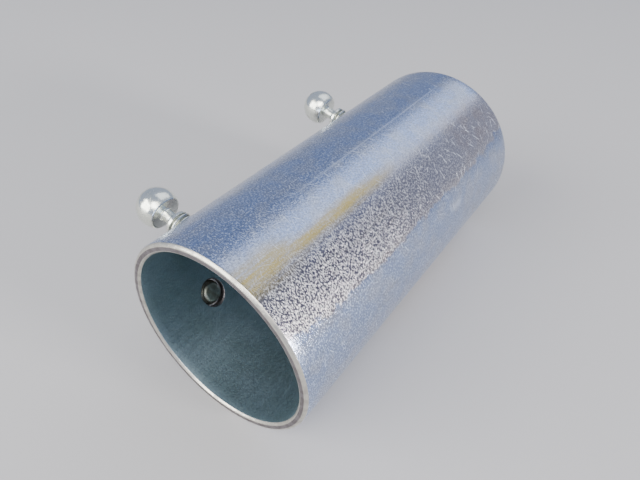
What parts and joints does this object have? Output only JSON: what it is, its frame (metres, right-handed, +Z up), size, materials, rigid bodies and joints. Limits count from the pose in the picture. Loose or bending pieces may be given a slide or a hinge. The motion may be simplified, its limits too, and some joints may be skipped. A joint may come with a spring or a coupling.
{
  "type": "rigid sleeve coupling",
  "caption": "Straight steel sleeve that joins two plain-ended conduits end to end, held by ball-headed break-off set screws near each mouth.",
  "frame": {"origin": "middle of the bore: on the bore's axis, half way between the mouths", "axes": "+X along the bore from the left mouth to the right mouth, +Y towards the side that the set screws are on, +Z up as the coupling lies on its sleeve and its two lower balls"},
  "size_m": [0.089, 0.056, 0.0422],
  "materials": {
    "sleeve_zinc": "satin zinc plate with a thin blue-clear passivation, scuffed and finely scratched",
    "screw_zinc": "bright zinc plate, smooth"
  },
  "bodies": {
    "sleeve": {"sleeve": "sleeve_zinc"},
    "left_upper_screw": {"left_upper_screw": "screw_zinc"},
    "left_lower_screw": {"left_lower_screw": "screw_zinc"},
    "right_upper_screw": {"right_upper_screw": "screw_zinc"},
    "right_lower_screw": {"right_lower_screw": "screw_zinc"}
  },
  "joints": [
    {"name": "left_upper_screw_feed", "type": "slide", "parent": "sleeve", "child": "left_upper_screw", "axis": [0, -0.9749, -0.2225], "range_m": [-0.0008, 0.0045]},
    {"name": "left_lower_screw_feed", "type": "slide", "parent": "sleeve", "child": "left_lower_screw", "axis": [0, -0.8467, 0.5321], "range_m": [-0.0008, 0.0045]},
    {"name": "right_upper_screw_feed", "type": "slide", "parent": "sleeve", "child": "right_upper_screw", "axis": [0, -0.9749, -0.2225], "range_m": [-0.0008, 0.0045]},
    {"name": "right_lower_screw_feed", "type": "slide", "parent": "sleeve", "child": "right_lower_screw", "axis": [0, -0.8467, 0.5321], "range_m": [-0.0008, 0.0045]}
  ]
}
